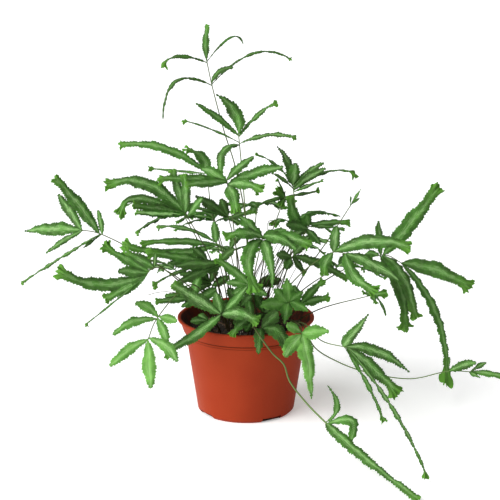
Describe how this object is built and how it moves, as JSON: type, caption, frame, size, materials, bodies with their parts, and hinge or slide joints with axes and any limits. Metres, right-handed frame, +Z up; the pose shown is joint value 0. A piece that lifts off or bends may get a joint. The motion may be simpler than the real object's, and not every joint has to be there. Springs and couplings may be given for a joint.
{
  "type": "potted crested cretan brake fern",
  "caption": "Crested Cretan brake fern with arching stalks and whorls of forked, wavy leaflets, growing in soil in a round tapered terracotta-coloured plastic pot.",
  "frame": {"origin": "middle of the pot's base, on the plane that the pot stands on", "axes": "+Z up along the pot's axis, +Y to the back as seen in the picture, +X to the right"},
  "size_m": [0.531, 0.4546, 0.4301],
  "materials": {
    "pot": "satin terracotta-coloured moulded plastic",
    "soil": "rough, moist peat mix with specks of perlite and bark",
    "frond": "satin green leaf with paler midribs and wiry green-brown stalks"
  },
  "bodies": {
    "root": {"pot": "pot", "soil": "soil", "frond_back_1": "frond", "frond_back_2": "frond", "frond_back_3": "frond", "frond_back_4": "frond", "frond_back_5": "frond", "frond_back_6": "frond", "frond_back_7": "frond", "frond_back_8": "frond", "frond_core_front": "frond", "frond_core_left": "frond", "frond_core_back": "frond", "frond_core_middle": "frond", "frond_core_right": "frond", "frond_cross": "frond", "frond_far_left": "frond", "frond_front_left": "frond", "frond_front_right": "frond", "frond_leader": "frond", "frond_left_bush_high": "frond", "frond_left_bush_low": "frond", "frond_left_fan": "frond", "frond_left_low": "frond", "frond_left_mid": "frond", "frond_left_skirt": "frond", "frond_mid_dark": "frond", "frond_pale_low_left": "frond", "frond_right_centre": "frond", "frond_right_fan": "frond", "frond_right_heart": "frond", "frond_right_inner": "frond", "frond_right_low": "frond", "frond_right_tuft": "frond", "frond_rim_front": "frond", "frond_rim_left": "frond", "frond_runner": "frond", "frond_second_leader": "frond", "frond_small_dark": "frond", "frond_star_centre": "frond", "frond_star_high": "frond", "frond_star_right": "frond", "frond_trailing": "frond", "frond_upper_left": "frond", "frond_upper_right": "frond", "frond_wiry_right": "frond", "frond_young": "frond"}
  },
  "joints": []
}
